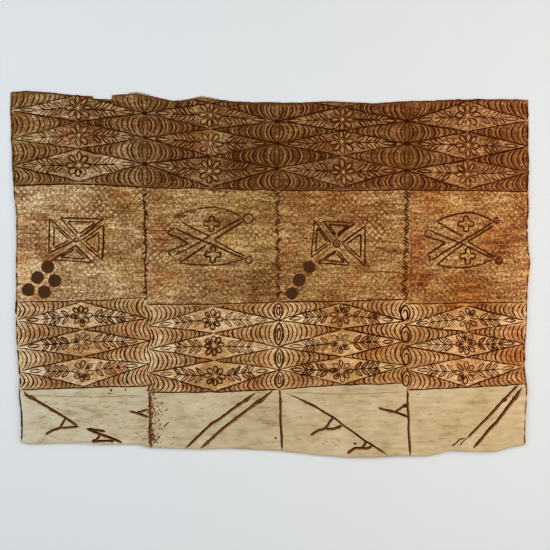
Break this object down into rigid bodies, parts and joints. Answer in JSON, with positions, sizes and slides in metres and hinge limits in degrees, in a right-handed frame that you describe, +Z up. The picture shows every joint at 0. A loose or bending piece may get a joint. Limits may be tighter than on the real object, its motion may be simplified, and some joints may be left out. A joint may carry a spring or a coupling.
{
  "type": "bark cloth wall hanging",
  "caption": "Large sheet of beaten bark cloth with printed and painted brown bands and a pale plain border, hung flat by its uneven, torn top edge.",
  "frame": {"origin": "middle of the top edge, on the wall plane that the back of the top strip lies on", "axes": "+X along the top edge to the right as seen from the printed face, +Y from the cloth into the wall, +Z up"},
  "size_m": [2.1563, 0.0186, 1.519],
  "materials": {
    "bark_cloth": "matte beaten bark, rubbed and painted with brown bark dye"
  },
  "bodies": {
    "root": {"bark_cloth": "bark_cloth"}
  },
  "joints": []
}
